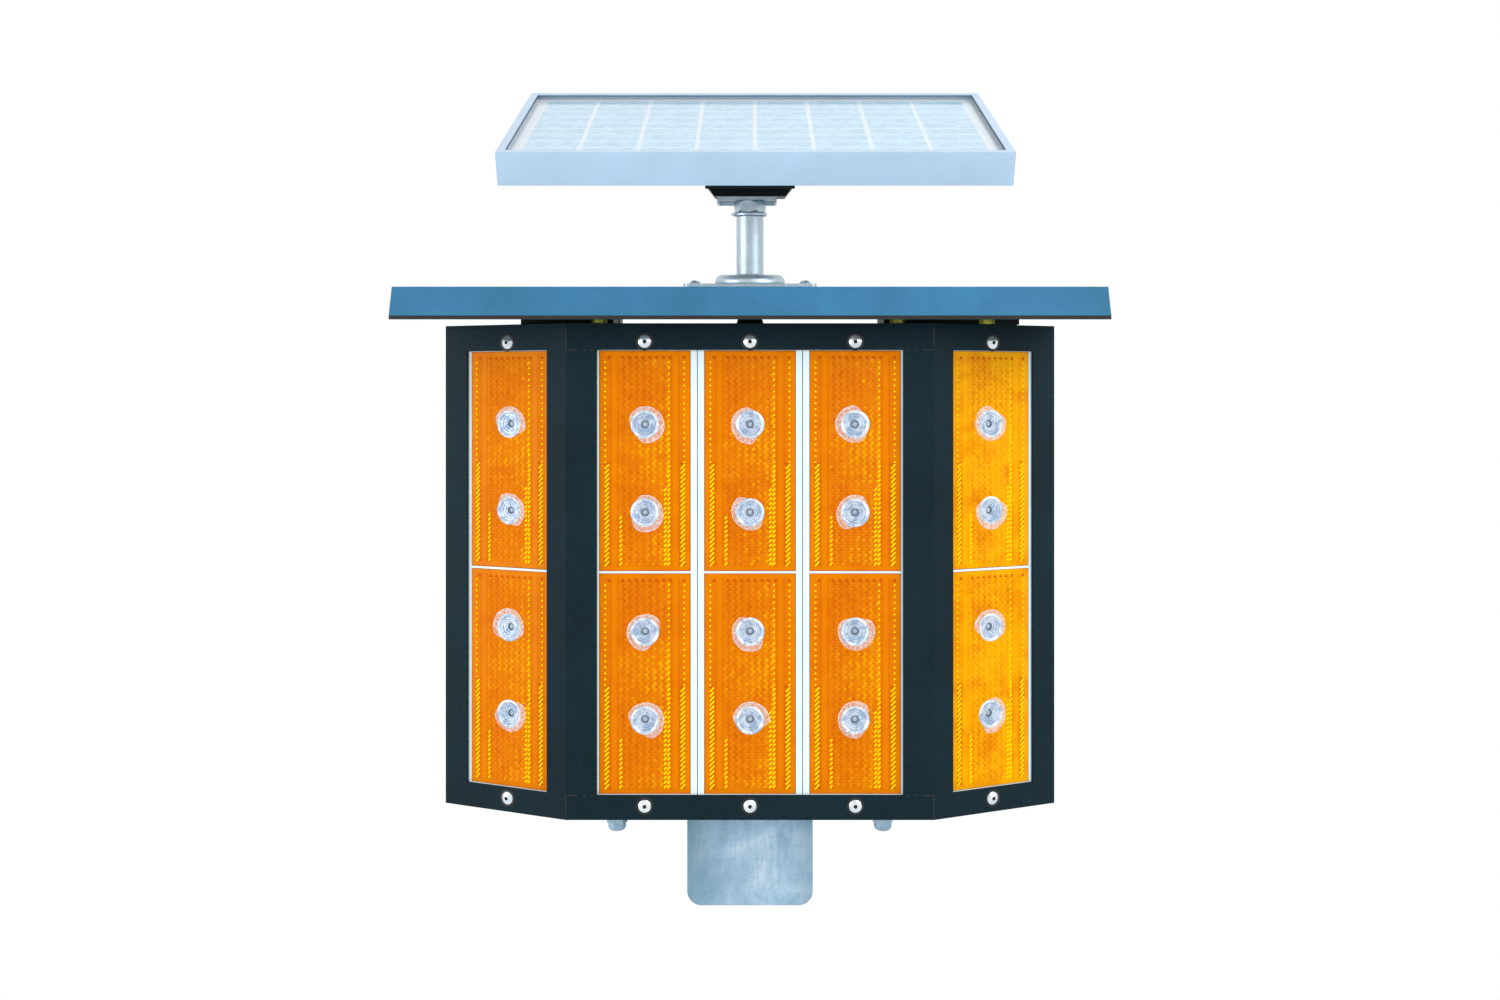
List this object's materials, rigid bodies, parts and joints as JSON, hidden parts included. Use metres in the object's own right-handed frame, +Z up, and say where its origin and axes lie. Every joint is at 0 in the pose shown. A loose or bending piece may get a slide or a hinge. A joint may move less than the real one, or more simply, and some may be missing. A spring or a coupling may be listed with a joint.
{
  "type": "barricade warning light",
  "caption": "Solar LED barricade marker: faceted steel housing with amber lit reflector strips, roof cap, short mast and tilting solar panel on a post socket.",
  "frame": {"origin": "centre of the post socket's lower rim, on the socket's axis", "axes": "+Z up along the socket, the lit face looks along -Y, +X to the right as seen from in front"},
  "size_m": [0.5012, 0.2984, 0.6484],
  "materials": {
    "galvanised_steel": "hot-dip galvanised, dull",
    "zinc_plated_bolts": "zinc plated",
    "black_housing_paint": "satin powder coat",
    "zinc_casting": "plated die casting",
    "clear_lens_plastic": "clear polycarbonate",
    "emitter_epoxy": "clear epoxy",
    "circuit_board": "white solder mask",
    "rivet_steel": "bright steel",
    "battery_case": "ABS",
    "controller_case": "ABS",
    "black_nylon": "moulded nylon",
    "blue_roof_paint": "satin powder coat",
    "black_rubber": "EPDM",
    "black_bracket_paint": "semi-gloss powder coat",
    "yellow_zinc": "yellow passivated zinc",
    "zinc_plated_mast": "bright zinc plate",
    "anodised_aluminium": "clear anodised",
    "panel_glass": "tempered low-iron glass",
    "solar_cells": "blue polycrystalline cells on a white backsheet",
    "white_carrier_plastic": "white ABS",
    "amber_reflector": "amber prismatic acrylic"
  },
  "bodies": {
    "housing": {"apron_plate": "galvanised_steel", "base_bolts": "zinc_plated_bolts", "base_cap_nuts": "zinc_plated_bolts", "base_plate": "galvanised_steel", "battery": "battery_case", "bezel_rivets": "rivet_steel", "bottom_rail": "black_housing_paint", "cable_gland": "black_nylon", "carrier_left": "white_carrier_plastic", "carrier_left_wing": "white_carrier_plastic", "carrier_middle": "white_carrier_plastic", "carrier_right": "white_carrier_plastic", "carrier_right_wing": "white_carrier_plastic", "controller": "controller_case", "door_gasket": "black_rubber", "floor_plate": "black_housing_paint", "hinge_pins": "zinc_plated_bolts", "led_boards": "circuit_board", "led_emitters": "emitter_epoxy", "led_lenses": "clear_lens_plastic", "left_shell": "black_housing_paint", "lock_nut": "zinc_plated_mast", "lock_washer": "zinc_plated_mast", "mast_base_plate": "zinc_plated_mast", "mast_flange": "zinc_plated_mast", "mast_screws": "zinc_plated_bolts", "mast_tube": "zinc_plated_mast", "post_socket": "galvanised_steel", "rear_frame": "black_housing_paint", "reflector_left_lower": "amber_reflector", "reflector_left_upper": "amber_reflector", "reflector_left_wing_lower": "amber_reflector", "reflector_left_wing_upper": "amber_reflector", "reflector_middle_lower": "amber_reflector", "reflector_middle_upper": "amber_reflector", "reflector_right_lower": "amber_reflector", "reflector_right_upper": "amber_reflector", "reflector_right_wing_lower": "amber_reflector", "reflector_right_wing_upper": "amber_reflector", "right_shell": "black_housing_paint", "roof_cap": "blue_roof_paint", "roof_edge_trim": "black_rubber", "roof_spacers": "black_bracket_paint", "roof_standoffs": "yellow_zinc", "set_bolts": "zinc_plated_bolts", "top_plate": "black_housing_paint", "top_rail": "black_housing_paint"},
    "swivel_head": {"swivel_channel": "zinc_plated_mast", "tilt_yoke": "black_bracket_paint", "swivel_nut": "zinc_plated_mast", "pivot_bolt": "zinc_plated_bolts", "pivot_nut": "zinc_plated_bolts"},
    "solar_panel": {"panel_mount": "black_bracket_paint", "panel_frame": "anodised_aluminium", "panel_glass": "panel_glass", "panel_cells": "solar_cells", "junction_box": "black_nylon"},
    "door": {"rear_door": "black_housing_paint", "cam_lock_body": "zinc_casting"},
    "door_lock": {"lock_cam": "zinc_casting"}
  },
  "joints": [
    {"name": "panel_swivel", "type": "hinge", "parent": "housing", "child": "swivel_head", "pos_m": [0, 0, 0.4795], "axis": [0, -0.0767, 0.9971], "range_deg": [-170, 170]},
    {"name": "panel_tilt", "type": "hinge", "parent": "swivel_head", "child": "solar_panel", "pos_m": [0, -0.00697, 0.57003], "axis": [1, 0, 0], "range_deg": [-25, 15]},
    {"name": "door_hinge", "type": "hinge", "parent": "housing", "child": "door", "pos_m": [-0.134, 0.11305, 0.2658], "axis": [0, 0, 1], "range_deg": [0, 110]},
    {"name": "door_lock_turn", "type": "hinge", "parent": "door", "child": "door_lock", "pos_m": [0.108, 0.11, 0.26575], "axis": [0, 1, 0], "range_deg": [0, 90]}
  ]
}
